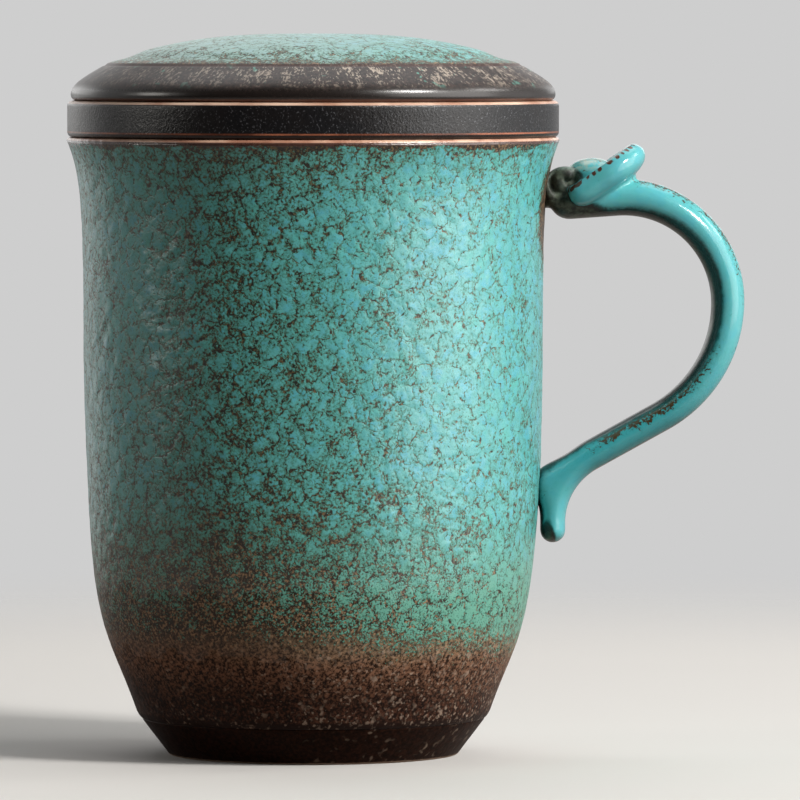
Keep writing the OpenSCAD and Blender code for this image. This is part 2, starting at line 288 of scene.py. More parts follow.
def speckle(f, cover, fineness=0.0):
    """Height above the glaze breaks and distance from the cracks, both in millimetres. Fine grains show where noise
    falls below a level. The level drops with distance from the borders of bent cells and rises with the cover, so
    grains crowd along the borders, leave clear patches and join up where the cover is high. Thin cracks that come
    and go run along the same borders, with finer ones between."""
    edge = f.calc("MINIMUM", cracks(f, 0.34, ((0.55, 2.6), (1.7, 0.7)), 2.0), 1.3)
    branch = cracks(f, 0.8, ((1.1, 1.2),), 57.0)
    patch = f.calc("SUBTRACT", f.noise(0.26, 2.0, 0.5, 21.0), 0.5)
    free = f.calc("SUBTRACT", 1.0, cover)
    uneven = f.line(fineness, -0.25, 0.45)
    clear = f.times(free, f.line(patch, uneven, f.times(edge, 0.17)))
    level = f.calc("SUBTRACT", f.line(cover, 0.58, 0.335), clear)
    coarse, fine = f.noise(2.15, 3.0, 0.55), f.noise(2.9, 2.0, 0.55, 3.0)
    grain = f.line(f.calc("SUBTRACT", fine, coarse), fineness, coarse)
    above = f.times(f.calc("SUBTRACT", grain, level), 1.7)
    for gap, by, thick, thin in ((edge, 71.0, 0.8, -0.42), (branch, 73.0, 0.9, -0.59)):
        width = f.line(f.noise(0.9, 2.0, 0.6, by), thick, f.line(cover, 0.35, thin))
        above = f.calc("MINIMUM", above, f.times(f.calc("SUBTRACT", gap, width), 2.6))
    return above, edge


def turquoise(f, above, tan=0.0):
    """Glaze colours by height above the breaks: grains from near black to olive in the breaks, or to tan by that
    share, then olive, green and turquoise, with bluer and greener patches."""
    tone = f.ramp(f.line(above, 0.5, 0.4), [
        (0.3, colour(52, 48, 36)), (0.37, colour(62, 88, 66)), (0.44, colour(78, 147, 134)),
        (0.56, colour(96, 183, 182)), (0.85, colour(110, 190, 194))])
    clear = f.step(above, 0.1, 0.4)
    blue = f.times(f.step(f.noise(0.36, 3.0, 0.6, 5.0), 0.46, 0.64), clear)
    green = f.times(f.step(f.noise(0.2, 3.0, 0.6, 83.0), 0.52, 0.7), clear)
    tone = f.mix(f.times(green, 0.5), tone, colour(92, 192, 176))
    tone = f.mix(f.times(blue, 0.55), tone, colour(88, 182, 208))
    salt = f.step(f.noise(2.1, 2.0, 0.6, 59.0), 0.47, 0.66)
    dark = f.mix(tan, colour(12, 9, 5), colour(40, 28, 18))
    light = f.mix(tan, colour(102, 84, 50), colour(164, 132, 100))
    return f.mix(f.step(above, 0.02, -0.12), tone, f.mix(salt, dark, light))


def flecks(f, scale, amount, by=0.0):
    """Small pale grains: the tops of rough cloudy noise, thinned out by slower noise. The amount is a share."""
    top = f.step(f.noise(scale, 1.0, 0.5, by), 0.57, 0.72)
    few = f.calc("ADD", f.noise(scale * 0.3, 2.0, 0.55, by), amount)
    return f.times(top, f.step(few, 0.85, 1.15))


def bare_clay(f):
    """The unglazed clay of a seat that another piece rests on."""
    return f.mix(f.noise(1.6, 4.0, 0.7, 33.0), colour(112, 78, 60), colour(172, 130, 104))


upper_joint = (39.6, 0.0, 93.0)
copper_z = (104.76, 104.9)


def mug_glaze(name, shine):
    """Speckled turquoise that breaks to brown towards the foot, at the lip and round the handle's upper joint, where
    the brown is also painted shade under the handle. The shine is how strongly it mirrors, which is less in the
    rougher glaze lower down."""
    f = Finish(name)
    drift = f.calc("SUBTRACT", f.noise(0.06, 2.0), 0.5)
    height = f.line(drift, 7.0, f.z)
    by_height = [(6, 1.05), (13, 0.98), (16, 0.86), (19, 0.66), (21.5, 0.47), (24, 0.37), (30, 0.3), (36, 0.27),
                 (43, 0.2), (50, 0.155), (57, 0.13), (88, 0.12), (97, 0.13), (101, 0.16), (103.9, 0.26), (104.8, 0.8)]
    # The breaks crowd on the side away from the handle and thin out on the handle's side, where the lamps stand:
    # partly the glaze's own spread and partly painted shade and sheen.
    by_side = [(-42, 0.18), (-34, 0.21), (-26, 0.26), (-15, 0.34), (0, 0.27), (10, 0.2), (20, 0.15), (42, 0.11)]
    cover = f.graph(height, by_height, 0.0, 110.0)
    cover = f.calc("ADD", cover, f.graph(f.x, by_side, -lip_r, lip_r))
    cover = f.calc("SUBTRACT", cover, 0.22)
    # Lower down the breaks also grow towards the side away from the lamps: partly painted shade.
    cover = f.line(f.times(f.step(height, 46.0, 24.0), f.x), -0.0035, cover)
    cover = f.line(drift, 0.25, cover)
    # Brown round the handle's upper joint: the glaze breaking there, and painted shade under the handle's nose.
    cover = f.line(f.step(f.vector("DISTANCE", f.level, upper_joint), 13.0, 5.0), 0.8, cover)
    above, edge = speckle(f, cover, f.calc("MAXIMUM", f.step(cover, 0.34, 0.52), f.step(height, 46.0, 30.0)))
    # Grains turn tan towards the foot, which is the glaze, and towards the handle's side, which is painted sheen.
    tan = f.calc("MAXIMUM", f.step(height, 52.0, 24.0), f.times(f.step(f.x, 2.0, 26.0), 0.6))
    glaze = turquoise(f, above, tan)
    green = f.times(f.step(height, 44.0, 26.0), f.step(above, 0.0, 0.25))
    glaze = f.mix(f.times(green, 0.8), glaze, colour(112, 172, 146))
    sand = f.noise(1.7, 4.0, 0.7, 13.0)
    brown = f.mix(f.step(sand, 0.4, 0.62), colour(32, 16, 8), colour(146, 108, 85))
    deep = f.mix(f.step(sand, 0.42, 0.68), colour(20, 8, 4), colour(86, 55, 41))
    brown = f.mix(f.step(height, 9.5, 19.0), deep, brown)
    olive = f.mix(f.step(sand, 0.4, 0.62), colour(54, 44, 28), colour(200, 182, 144))
    # The paler olive is kept to the lamps' side: it is the glaze's olive together with painted sheen.
    sheen_side = f.graph(f.x, [(-20, 0.1), (14, 0.9)], -lip_r, lip_r)
    brown = f.mix(f.times(f.step(height, 16.0, 24.0), sheen_side), brown, olive)
    brown = f.mix(f.step(f.z, 7.7, 7.1), brown, f.mix(sand, colour(20, 8, 4), colour(44, 26, 19)))
    low = f.step(height, 25.0, 17.0)
    base = f.mix(f.times(low, f.step(above, 0.15, -0.25)), glaze, brown)
    # More pale flecks towards the lamps' side, where they show lit: painted light.
    amount = f.line(f.x, 0.004, 0.5)
    fewer = f.calc("SUBTRACT", amount, 0.06)
    pale = f.times(f.calc("MAXIMUM", flecks(f, 1.5, amount), flecks(f, 0.9, fewer, 31.0)), low)
    base = f.mix(f.times(pale, 0.6), base, colour(178, 158, 140))
    ragged = f.line(f.calc("SUBTRACT", f.noise(0.7, 3.0), 0.5), 1.3, f.z)
    base = f.mix(f.step(ragged, 104.15, 104.5), base, f.mix(sand, colour(44, 27, 23), colour(92, 60, 50)))
    # The lip's rounding is copper where the glaze thins over the edge, painted paler to stand for its highlight as
    # well.
    copper = f.mix(f.step(f.noise(0.12, 3.0), 0.35, 0.65), colour(184, 132, 108), colour(240, 198, 170))
    seat = f.step(f.radius, lip_r - 0.8, lip_r - 1.2)
    base = f.mix(f.step(f.z, *copper_z), base, f.mix(seat, copper, bare_clay(f)))
    rough = f.graph(above, [(-0.3, 0.5), (0.1, 0.34), (0.6, 0.27)], -0.5, 1.0)
    rough = f.line(f.step(f.z, 103.4, 104.2), -0.2, rough)
    rough = f.line(f.times(seat, f.step(f.z, *copper_z)), 0.45, rough)
    lumps = f.line(f.noise(0.32, 2.0, 0.5, 9.0), 2.4, f.times(f.step(edge, -0.6, 1.3), 0.3))
    f.relief(f.line(f.step(above, -0.2, 0.35), 0.2, lumps), 0.4, 0.0003)
    return f.done(base, rough, Specular_IOR_Level=shine)


def inside_glaze():
    """Mottled brown inside the mug."""
    f = Finish("inside_glaze")
    base = f.mix(f.noise(0.6, 4.0, 0.65), colour(52, 42, 38), colour(84, 70, 62))
    f.relief(f.noise(0.5, 2.0), 0.15, 0.0005)
    return f.done(base, f.graph(f.noise(0.3, 2.0), [(0.3, 0.26), (0.7, 0.38)]))


def foot_glaze():
    """Dark brown with pale flecks, and bare clay where the foot stands."""
    f = Finish("foot_glaze")
    base = f.mix(f.step(f.noise(1.5, 4.0, 0.7), 0.35, 0.7), colour(16, 6, 3), colour(50, 28, 18))
    # More pale flecks towards the lamps' side, where they show lit: painted light.
    base = f.mix(f.times(flecks(f, 0.8, f.line(f.x, 0.006, 0.36)), 0.5), base, colour(168, 150, 132))
    clay = f.mix(f.noise(1.4, 4.0, 0.7), colour(140, 118, 102), colour(178, 158, 140))
    bare = f.step(f.line(f.noise(0.6, 2.0), 0.2, f.z), 0.5, 0.3)
    f.relief(f.noise(0.7, 3.0), 0.2, 0.0005)
    return f.done(f.mix(bare, base, clay), f.graph(bare, [(0, 0.45), (1, 0.8)]), Specular_IOR_Level=0.07)


def charcoal_glaze():
    """The grainy dark base colour that the collar and the liner share, and its finish."""
    f = Finish("charcoal_glaze")
    grain = f.noise(2.6, 4.0, 0.7)
    base = f.mix(grain, colour(8, 9, 10), colour(33, 33, 36))
    base = f.mix(f.times(f.step(f.noise(0.15, 3.0), 0.35, 0.75), 0.4), base, colour(34, 28, 26))
    return base, f


def collar_glaze():
    """Charcoal with painted glints and a worn copper edge above and below, the upper edge painted paler to stand for
    its highlight, and a bare seat for the lid.
    """
    base, f = charcoal_glaze()
    f.material.name = "collar_glaze"
    worn = f.step(f.noise(0.1, 3.0), 0.35, 0.65)
    top = f.step(f.z, lid_z - 0.52, lid_z - 0.38)
    # Pale grey specks stand for the glints of the grain: painted glints.
    painted_glints = f.step(f.noise(3.2, 2.0, 0.5, 29.0), 0.6, 0.7)
    base = f.mix(f.times(painted_glints, 0.4), base, colour(136, 138, 144))
    seat = f.step(f.radius, collar_r - 1.0, collar_r - 1.4)
    # The top edge's copper is painted pale peach, partly to stand for its highlight.
    base = f.mix(top, base, f.mix(seat, f.mix(worn, colour(190, 144, 120), colour(244, 210, 186)), bare_clay(f)))
    base = f.mix(f.step(f.z, mug_h + 1.1, mug_h + 0.98), base, f.mix(worn, colour(96, 52, 36), colour(172, 106, 78)))
    # The lowest part of the lower rounding, where the collar meets the lip, is painted near black: painted shade in
    # the gap.
    base = f.mix(f.step(f.z, mug_h + 0.82, mug_h + 0.7), base, colour(24, 14, 11))
    f.relief(f.noise(2.4, 3.0, 0.6), 0.45, 0.0002)
    return f.done(base, f.line(f.times(top, seat), 0.45, 0.28), Specular_IOR_Level=0.42)


def liner_glaze():
    """Charcoal with paler mottling, inside and outside the basket."""
    base, f = charcoal_glaze()
    f.material.name = "liner_glaze"
    base = f.mix(f.times(f.step(f.noise(0.5, 4.0, 0.65, 25.0), 0.42, 0.75), 0.6), base, colour(66, 60, 57))
    f.relief(f.noise(1.6, 3.0, 0.6), 0.2, 0.0004)
    return f.done(base, f.graph(f.noise(0.2, 2.0), [(0.35, 0.3), (0.65, 0.42)]))


def lid_glaze():
    """Speckled turquoise on the dome, paled by a painted sheen that is strongest on the side away from the handle, a
    dark line at the crease, a brown shoulder with pale streaks down its slope and a glossy dark bulge above the edge."""
    f = Finish("lid_glaze")
    drift = f.calc("SUBTRACT", f.noise(0.07, 2.0), 0.5)
    by_radius = [(0, 0.06), (20, 0.09), (27, 0.15), (32, 0.26), (34.6, 0.44), (crease_r, 0.8)]
    cover = f.line(drift, 0.3, f.graph(f.radius, by_radius, 0.0, lip_r))
    above, _ = speckle(f, cover, f.step(cover, 0.28, 0.45))
    # The dome is painted paler towards grey-white, most on the side away from the handle: painted sheen.
    grey = f.graph(f.x, [(-26, 0.62), (0, 0.46), (26, 0.14)], -lip_r, lip_r)
    dome_tone = f.mix(f.times(grey, f.step(above, -0.05, 0.2)), turquoise(f, above, 0.8), colour(196, 206, 200))
    around = f.add("ShaderNodeCombineXYZ", X=f.calc("DIVIDE", f.x, f.radius), Y=f.calc("DIVIDE", f.y, f.radius))
    upright = f.add("ShaderNodeCombineXYZ", Z=f.z)
    slope = f.vector("MULTIPLY_ADD", around.outputs[0], (40.0,) * 3, upright.outputs[0])
    streak, patch = f.cloud(slope, 2.3, 3.0, 0.65)["Fac"], f.cloud(slope, 0.4, 3.0, 0.6)["Fac"]
    sand = f.noise(1.8, 4.0, 0.7)
    brown = f.mix(f.step(sand, 0.35, 0.68), colour(13, 9, 8), colour(62, 47, 42))
    high = f.graph(f.z, [(113.2, 0.0), (114.2, 0.25), (115.6, 0.62), (117.4, 0.9)], lid_z, crease_z)
    high = f.times(high, f.graph(f.x, [(-40, 0.3), (-20, 0.6), (10, 1.1)], -lip_r, lip_r))
    pale = f.times(f.step(f.line(patch, 0.6, streak), 0.82, 0.96), high)
    brown = f.mix(pale, brown, colour(190, 176, 160))
    spot = f.times(f.step(f.noise(0.35, 2.0, 0.5, 17.0), 0.66, 0.7), high)
    brown = f.mix(f.times(spot, 0.8), brown, colour(100, 182, 166))
    bulge = f.step(f.line(f.calc("SUBTRACT", sand, 0.5), 1.2, f.z), 114.5, 113.4)
    brown = f.mix(bulge, brown, f.mix(sand, colour(20, 17, 16), colour(48, 41, 38)))
    brown = f.mix(f.step(f.z, 112.2, 111.9), brown, colour(84, 52, 42))
    line = f.step(f.radius, crease_r + 0.75, crease_r + 0.3)
    brown = f.mix(f.times(line, 0.8), brown, colour(64, 40, 35))
    rim = f.step(f.radius, crease_r - 0.35, crease_r - 0.05)
    rough = f.line(bulge, -0.15, f.graph(rim, [(0, 0.38), (1, 0.42)]))
    lumps = f.line(f.noise(0.3, 2.0, 0.5, 9.0), 2.0, f.step(above, -0.2, 0.35))
    f.relief(f.times(lumps, f.line(rim, -0.8, 1.0)), 0.4, 0.0002)
    return f.done(f.mix(rim, dome_tone, brown), rough, Specular_IOR_Level=0.6)


def handle_glaze():
    """Glossy turquoise. It deepens through teal to the dark glaze as the spray mark falls below nought, that dark
    being partly painted shade on the handle's inner and lower sides, breaks to brown grains by the fleck mark and to
    beads of brown along the rim mark. It takes painted shade in deeper teal by the pool mark, painted highlight and
    reflection in pale grey-green by the milk mark, and is rougher by the dull mark."""
    f = Finish("handle_glaze")
    spray_and_shade, fleck, rim, painted_highlight, dull, lower_arm_shade = (f.add("ShaderNodeAttribute", {"attribute_name": n}).outputs["Fac"]
                                           for n in ("spray_and_shade", "fleck", "rim", "painted_highlight", "dull", "lower_arm_shade"))
    above, _ = speckle(f, fleck)
    plain = f.mix(f.noise(0.12, 2.0), colour(80, 178, 186), colour(100, 196, 202))
    glaze = f.mix(0.6, turquoise(f, above), plain)
    # Deeper teal by the pool mark: painted shade on the lower arm.
    glaze = f.mix(f.times(lower_arm_shade, 0.58), glaze, colour(36, 144, 154))
    glaze = f.mix(f.step(above, 0.05, -0.15), glaze, f.mix(f.noise(1.2, 3.0), colour(38, 34, 24), colour(92, 74, 50)))
    # Below nought the spray mark darkens the glaze to deep teal and near black: partly dark glaze and partly painted
    # shade on the inner and lower sides.
    soft = f.line(f.calc("SUBTRACT", f.noise(0.6, 4.0, 0.65), 0.5), 0.35, spray_and_shade)
    grey = f.mix(f.step(f.noise(1.0, 4.0, 0.65), 0.34, 0.68), colour(26, 30, 23), colour(96, 108, 90))
    deep = f.ramp(f.calc("ADD", soft, 0.5), [
        (0.1, colour(20, 22, 18)), (0.36, colour(16, 34, 30)), (0.54, colour(20, 74, 74)),
        (0.74, colour(48, 148, 150))])
    deep = f.mix(f.times(f.step(soft, -0.2, -0.5), 0.7), deep, grey)
    base = f.mix(f.step(soft, -0.02, 0.3), deep, glaze)
    base = f.mix(f.step(f.line(f.noise(1.5, 3.0, 0.6, 47.0), 0.9, rim), 0.75, 1.05), base, colour(84, 50, 37))
    streak = f.step(f.noise(0.9, 3.0, 0.6, 39.0), 0.32, 0.6)
    # Pale grey-green by the milk mark: painted reflection on the boss and painted highlight along the scroll's ridge.
    base = f.mix(f.times(painted_highlight, streak), base, f.mix(f.noise(0.5, 3.0), colour(140, 176, 166), colour(190, 206, 196)))
    f.relief(f.line(f.times(dull, f.noise(0.9, 3.0, 0.6)), 1.6, f.noise(0.3, 2.0)), 0.2, 0.0005)
    rough = f.graph(soft, [(-0.4, 0.32), (0.1, 0.16)], -0.5, 0.5)
    return f.done(base, f.line(dull, 0.25, rough), Specular_IOR_Level=0.5)


# Turned pieces

bowl = bend([[bowl_r, foot_h], [35.38, 22.8], [38.3, 18.0], [waist_r, waist_z]], 32)
flare = bend([[waist_r, waist_z], [waist_r, 89.8], [waist_r, 98.2], [lip_r, lip_z]], 44)
wall_line = np.concatenate([bowl, flare[1:]])
low_glaze_z, base_glaze_z = 29, 18


def wall_at(z):
    """Outer radius of the mug at a height."""
    return np.interp(z, wall_line[:, 1], wall_line[:, 0])


def thrown(a, z):
    """The slight unevenness of a thrown wall: a few slow waves round the mug and up it, with fine ripples of many
    counts, all fading to nought at the lip and the foot."""
    waves = 0.07 * np.cos(2 * a + 0.6) + 0.05 * np.cos(3 * a + z / 9) + 0.04 * np.cos(5 * a - z / 6 + 1.1)
    for k in range(14):
        waves = waves + 0.009 * np.cos((23 + 5 * k) * a + (0.4 + 0.37 * k % 1.3) * z * (-1) ** k + 2.4 * k)
    return waves * np.clip((z - 12) / 20, 0, 1) * np.clip((102 - z) / 12, 0, 1)


def make_mug():
    """The wall outline, the rounded lip, the straight mouth, the inner wall and the floor, carried round the axis."""
    groove_z = foot_h + 1.2
    groove = bend([[bowl_r - 0.45, foot_h], [bowl_r - 0.05, foot_h + 0.25], [wall_at(groove_z), groove_z]], 6)
    line_z = wall_line[:, 1]
    outside = wall_line[line_z > groove_z + 0.1]
    lip = arc([lip_r - lip_round, lip_z], lip_round, 0, 90)
    mouth = arc([mouth_r + lip_round, lip_z], lip_round, 90, 180)
    low_z = floor_z + floor_round
    inner = wall_line[(line_z > low_z) & (line_z < mouth_z - mouth_lead)][::4] - [wall, 0]
    floor_r = wall_at(low_z) - wall
    floor = bend([[floor_r, low_z], [floor_r - floor_round / 4, floor_z], [floor_r - floor_round, floor_z]], 8)
    outer = evenly(np.concatenate([[[0, foot_h]], groove, outside, lip]), 1.25)
    rest = evenly(np.concatenate([mouth, [[mouth_r, mouth_z]], inner[::-1], floor, [[0, floor_z]]]), 2.4)
    around = 400
    points, faces = turned(np.concatenate([outer, rest]), around, wobble=thrown)
    glazes = [mug_glaze("mug_glaze", 0.8), mug_glaze("mug_glaze_low", 0.4), mug_glaze("mug_glaze_base", 0.14),
              inside_glaze()]
    piece = surface("mug", points, faces, "mug", glazes, ["mug_body"])
    x, y, z = points[[f[0] for f in faces]].T
    ragged = z + 0.8 * np.cos(0.9 * x) + 0.8 * np.cos(1.1 * y)
    glaze = (ragged < low_glaze_z).astype(np.int32) + (ragged < base_glaze_z)
    ring = np.arange(len(faces)) // around
    # The rings run up the outside, over the lip and down the inside. The fan under the foot comes next to last.
    within = (ring >= len(outer) + 2) & (ring != len(outer) + len(rest) - 3)
    piece.data.polygons.foreach_set("material_index", np.where(within, 3, glaze).astype(np.int32))


def make_foot():
    """The foot's outline with its rounded edge and shallow recess, carried round the axis."""
    lean = math.degrees(math.atan((foot_top_r - foot_r) / foot_h))
    outline = np.concatenate([
        [[0, recess_h]], arc([recess_r - recess_round, recess_h - recess_round], recess_round, 90, 0, 5),
        arc([recess_r + recess_edge, recess_edge], recess_edge, 180, 270, 5),
        arc([foot_r - foot_round, foot_round], foot_round, -90, -lean),
        bend([[foot_top_r - 0.5, foot_h - 0.72], [foot_top_r - 0.05, foot_h - 0.1], [foot_top_r - 0.2, foot_h]], 4),
        [[0, foot_h]]])
    points, faces = turned(evenly(outline, 1.5), 240)
    surface("foot", points, faces, "mug", foot_glaze(), ["foot_ring"])


def make_collar():
    """The band's outline with rounded edges and the step that drops into the mouth, carried round the axis."""
    outline = np.concatenate([
        arc([basket_in_r + spigot_round, spigot_z + spigot_round], spigot_round, 180, 270, 4),
        arc([spigot_r - spigot_round, spigot_z + spigot_round], spigot_round, -90, 0, 4),
        [[spigot_r, mug_h]], arc([collar_r - collar_round, mug_h + collar_round], collar_round, -90, 0),
        arc([collar_r - collar_round, lid_z - collar_round], collar_round, 0, 90),
        arc([basket_in_r + spigot_round, lid_z - spigot_round], spigot_round, 90, 180, 4)])
    points, faces = turned(evenly(outline, 1.2, True), 320, True)
    surface("collar", points, faces, "infuser", collar_glaze(), ["infuser_collar"])


def make_basket(glaze):
    """The tapering wall of the basket, with softened corners, carried round the axis."""
    corners = [[basket_in_r, spigot_z], [basket_r, spigot_z], [basket_low_r, strainer_z],
               [basket_low_r - basket_wall, strainer_z]]
    points, faces = turned(evenly(softened(corners, 0.4, 4), 3.0, True), 240, True)
    surface("basket", points, faces, "infuser", glaze, ["infuser_basket"])


def dome(r):
    """Height of the lid's dome: the crease height plus what is left of the rise, which falls with a power of the
    radius."""
    return crease_z + dome_h * (1 - (r / crease_r) ** dome_full)


def make_lid():
    """Hollow underside, flat rim, rounded edge, sloping shoulder, a fine step at the crease and the dome, which dips
    a little before the crease, all carried round the axis."""
    r_in = np.linspace(0, skirt_in_r, 24)
    r_out = np.linspace(crease_r - 0.35, 0, 90)
    outline = np.concatenate([
        np.column_stack([r_in, dome(r_in) - lid_t]), [[skirt_in_r, lid_z]],
        arc([lid_r - lid_round, lid_z + lid_round], lid_round, -90, 0),
        bend([[lid_r, lid_z + lid_round], [lid_r, lid_z + 2.5], [lid_r - 1.3, lid_z + 3.55],
              [crease_r + 0.6, crease_z - 0.42]], 30)[1:],
        [[crease_r + 0.35, crease_z - 0.38], [crease_r + 0.12, crease_z - 0.2], [crease_r - 0.05, crease_z - 0.02]],
        np.column_stack([r_out, dome(r_out) - dip_h * np.exp(-((r_out - dip_r) / dip_width) ** 2)])])
    points, faces = turned(evenly(outline, 1.2), 320)
    surface("lid", points, faces, "lid", lid_glaze(), ["lid_cap"])


def make_skirt(glaze):
    """The lid's locating ring, with a rounded lower edge, carried round the axis."""
    low = lid_z - skirt_h
    outline = np.concatenate([
        arc([skirt_in_r + skirt_round, low + skirt_round], skirt_round, 180, 270, 6),
        arc([skirt_r - skirt_round, low + skirt_round], skirt_round, -90, 0, 6),
        [[skirt_r, lid_z], [skirt_in_r, lid_z]]])
    points, faces = turned(evenly(outline, 1.5, True), 240, True)
    surface("skirt", points, faces, "lid", glaze, ["lid_skirt"])


# Handle

joint_z, tail_z, joint_bite = 94.1, 39.8, 0.7
joint_r = float(wall_at(joint_z))
reach, arm_rise, bow_r, bow_turn, tail_r, tail_l = 31.1, 4.0, 17.9, 61.0, 12.9, 1.6
arm_t, bow_t, low_t, tail_t, tail_gap, handle_w, nose_l = 6.3, 5.7, 5.2, 4.3, 0.6, 8.0, 4.6
undercut, undercut_lead = 1.4, 1.2


def rounded(share, least):
    """Height of a quarter circle at a share of its width, from nought to 1, with no share taken below the least."""
    return np.sqrt(np.clip(1 - (1 - np.clip(share, least, 1)) ** 2, 0, 1))


def handle_route():
    """Stations along the handle: straight stretches and arcs laid end to end, each point stepping on from the last
    along the heading. Gives place, heading, share of the way, half thickness outwards, half width and half thickness
    inwards, with the web that joins the tail to the wall added to the last."""
    sin, cos = (lambda d: math.sin(math.radians(d))), (lambda d: math.cos(math.radians(d)))
    bow_x, nose_x = joint_r + reach, joint_r - joint_bite
    tail_x = float(wall_at(tail_z)) + tail_gap + tail_t / 2
    arm_l = (bow_x - bow_r - bow_r * sin(arm_rise) - nose_x) / cos(arm_rise)
    bow_z = joint_z + arm_l * sin(arm_rise) - bow_r * cos(arm_rise)
    span_x = bow_x - tail_x - tail_r * (1 - cos(bow_turn))
    span_z = bow_z - tail_z - tail_r * sin(bow_turn)
    low_r = (span_z * sin(bow_turn) - span_x * cos(bow_turn)) / (1 - cos(bow_turn))
    low_l = (span_x * sin(bow_turn) - span_z * (1 - cos(bow_turn))) / (1 - cos(bow_turn))
    length, turns, start_t, end_t = np.array([
        (arm_l, 0, arm_t, arm_t), (math.radians(90 + arm_rise) * bow_r, -90 - arm_rise, arm_t, bow_t),
        (math.radians(bow_turn) * low_r, -bow_turn, bow_t, low_t), (low_l, 0, low_t, low_t),
        (math.radians(bow_turn) * tail_r, bow_turn, low_t, tail_t), (tail_l, 0, tail_t, tail_t)]).T
    ends, turned_by = (np.concatenate([[0], np.cumsum(v)]) for v in (length, turns))

    def follow(at):
        """Which stretch each length along the route falls in, the share of that stretch, and the heading there."""
        which = np.clip(np.searchsorted(ends, at, side="right") - 1, 0, len(length) - 1)
        share = (at - ends[which]) / length[which]
        return which, share, np.radians(arm_rise + turned_by[which] + turns[which] * share)

    s = np.concatenate([np.linspace(0, nose_l, 24)[:-1], np.linspace(nose_l, ends[-1], 240)])
    which, share, heading = follow(s)
    fine = np.linspace(0, ends[-1], 6000)
    fine_heading = follow(fine)[2]
    x, z = (np.interp(s, fine, start + np.concatenate([[0], np.cumsum((v[1:] + v[:-1]) / 2) * fine[1]]))
            for start, v in ((nose_x, np.cos(fine_heading)), (joint_z, np.sin(fine_heading))))
    thick = start_t[which] * (1 - share) + end_t[which] * share
    nose = rounded(s / nose_l, 0.0225)
    half = thick / 2 * nose
    below = thick / 2 * rounded((s - undercut) / (nose_l - undercut_lead), 0.05)
    width = handle_w / 2 * nose ** 0.4
    tail_turn, web_at = 4, 0.58
    web_s = ends[tail_turn] + web_at * length[tail_turn]
    web_x, web_z, web_h = np.interp(web_s, s, x), np.interp(web_s, s, z), np.interp(web_s, s, heading)
    fill = (web_x - float(wall_at(web_z))) / -math.sin(web_h) + joint_bite - (low_t + (tail_t - low_t) * web_at) / 2
    on_turn = np.clip((which == tail_turn) * share, 1e-9, 1) ** (math.log(0.5) / math.log(web_at))
    web = np.where(which == tail_turn, fill * np.sin(np.pi * on_turn) ** 3, 0)
    return x, z, heading, s / ends[-1], half, width, below + np.clip(web, 0, None)


def tube():
    """An oval carried along the route: half thickness times cos a away from the loop, half width times sin a across
    it. The tail ends in a round cap."""
    x, z, heading, _, out, width, inward = handle_route()
    cap = np.radians(np.linspace(0, 80, 9))[1:]
    x = np.concatenate([x, x[-1] + np.sin(cap) * tail_t / 2 * np.cos(heading[-1])])
    z = np.concatenate([z, z[-1] + np.sin(cap) * tail_t / 2 * np.sin(heading[-1])])
    out, width, inward = (np.concatenate([v, v[-1] * np.cos(cap)]) for v in (out, width, inward))
    heading = np.concatenate([heading, np.full(len(cap), heading[-1])])
    a = np.linspace(0, 2 * math.pi, 72, endpoint=False)[None]
    u = np.where(np.cos(a) < 0, inward[:, None], out[:, None]) * np.cos(a)
    return swept(np.stack([x[:, None] - u * np.sin(heading)[:, None], width[:, None] * np.sin(a),
                           z[:, None] + u * np.cos(heading)[:, None]], -1))


# Ruyi head

arm_top = joint_z + arm_t / 2
lobe_x = joint_r + 10.5
lobe_z = arm_top + (lobe_x - joint_r + joint_bite) * math.sin(math.radians(arm_rise)) + 0.7
lobe_r, lobe_half, lobe_under, lobe_dish, lobe_tilt, lobe_square = 7.6, 2.1, 2.6, 0.8, math.radians(35), 5.0
neck_place, neck_size = (1.2, -lobe_under), (2.8, 3.0, 1.8)
boss_r, boss_h, boss_x, boss_z = 4.2, 2.5, lobe_x - 2.6, lobe_z + 0.5
scroll_r, scroll_half, eye_x, eye_z, spiral_pitch = 3.7, 3.8, 0.4, 1.9, 2.7
scroll_z = arm_top + scroll_r - 4.4
scroll_x = float(wall_at(scroll_z)) + scroll_r - joint_bite
lobe_side = bend([[0.35, -lobe_under], [0.78, -lobe_under], [1.04, -1.5], [1.07, 0.4], [0.93, 1.5]], 24)
skin_grain, skin_rounds, mark_blend = 0.26, 8, 0.22


def lobe_power(c):
    """The power of the lobe's outline by the cosine round it: 2 at the tip, as in a circle, and more towards the mug
    for a squarer end."""
    return np.where(c > 0, 2.0, 2.0 + lobe_square * c ** 2)


def lobe_place(u, w, v):
    """A point of the lobe's own frame, u outwards up the tilt, w across and v square to it, in the mug's frame."""
    c, s = math.cos(lobe_tilt), math.sin(lobe_tilt)
    return np.stack([lobe_x + u * c - v * s, w + 0 * u, lobe_z + u * s + v * c], -1)


def lobe():
    """A tilted leaf: an outline round at the tip and squarer towards the mug, filled by a profile that bulges from
    the groove below, turns over a narrow rim and dips into a dish."""
    a = np.linspace(0, 2 * math.pi, 160, endpoint=False)
    power = lobe_power(np.cos(a))
    outline = lobe_r * (np.abs(np.cos(a)) ** power + np.abs(np.sin(a)) ** power) ** (-1 / power)
    side = np.concatenate([
        [[0.05, -lobe_under]], lobe_side,
        bend([[0.93, 1.5], [0.91, lobe_half], [0.84, lobe_half]], 6)[1:],
        bend([[0.84, lobe_half], [0.76, lobe_half], [0.6, lobe_half - lobe_dish],
              [0.05, lobe_half - lobe_dish]], 18)[1:]])
    r = side[:, :1] * outline[None]
    return swept(lobe_place(r * np.cos(a), r * np.sin(a), np.repeat(side[:, 1:], len(a), 1)))


